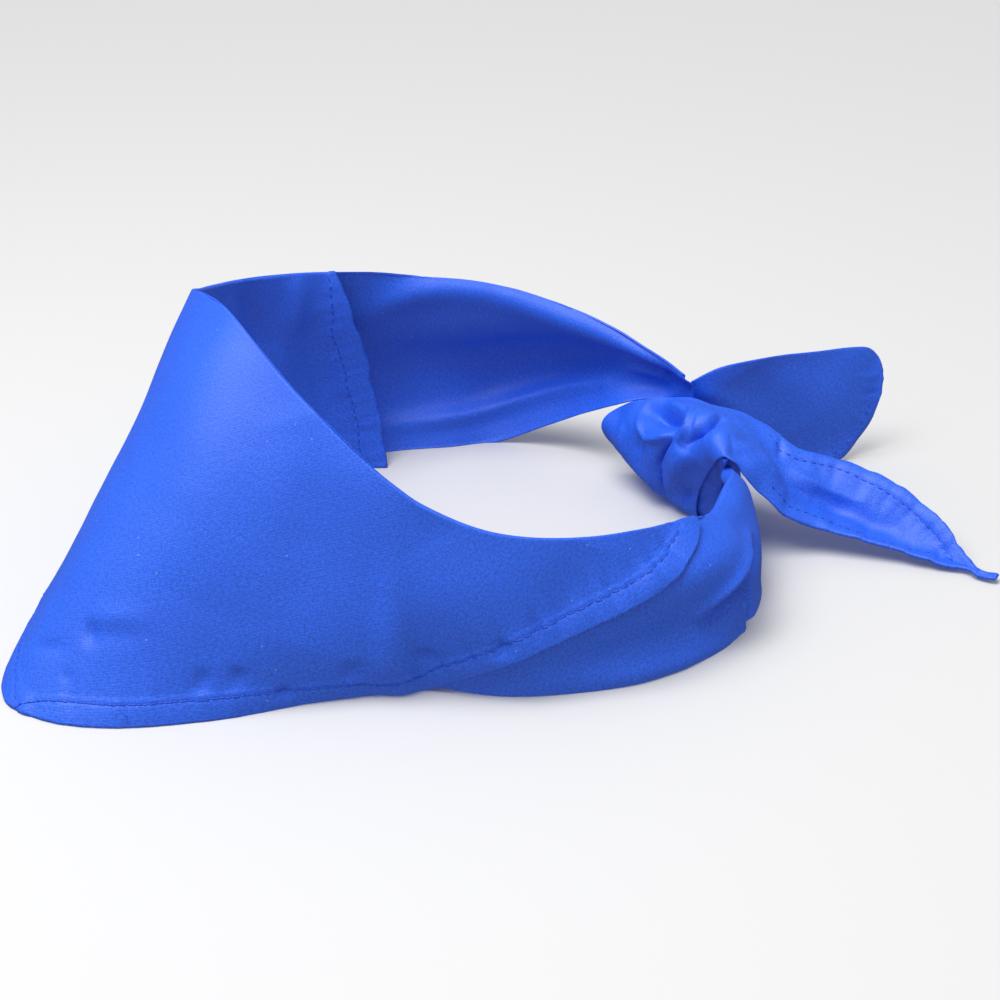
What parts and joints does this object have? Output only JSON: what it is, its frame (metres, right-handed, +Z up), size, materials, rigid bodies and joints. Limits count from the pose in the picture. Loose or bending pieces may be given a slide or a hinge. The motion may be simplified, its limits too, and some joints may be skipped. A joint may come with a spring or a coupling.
{
  "type": "neckerchief",
  "caption": "Plain woven neckerchief, folded along its top edge to a pointed bib and tied behind with a half knot and two free ends.",
  "frame": {"origin": "under the middle of the whole part, on the surface it stands on", "axes": "+Z up along the neck, -Y towards the bib, +Y towards the knot, +X towards the side where the bib's hem rises"},
  "size_m": [0.1658, 0.2698, 0.089],
  "materials": {
    "bib_cloth": "plain woven cotton, royal blue, matt with a soft sheen",
    "inner_cloth": "plain woven cotton, royal blue, matt with a soft sheen",
    "knot_cloth": "plain woven cotton, royal blue, matt with a soft sheen",
    "front_tail_cloth": "plain woven cotton, royal blue, matt with a soft sheen",
    "back_tail_cloth": "plain woven cotton, royal blue, matt with a soft sheen"
  },
  "bodies": {
    "root": {"bib_layer": "bib_cloth", "inner_layer": "inner_cloth", "knot": "knot_cloth", "front_tail": "front_tail_cloth", "back_tail": "back_tail_cloth"}
  },
  "joints": []
}
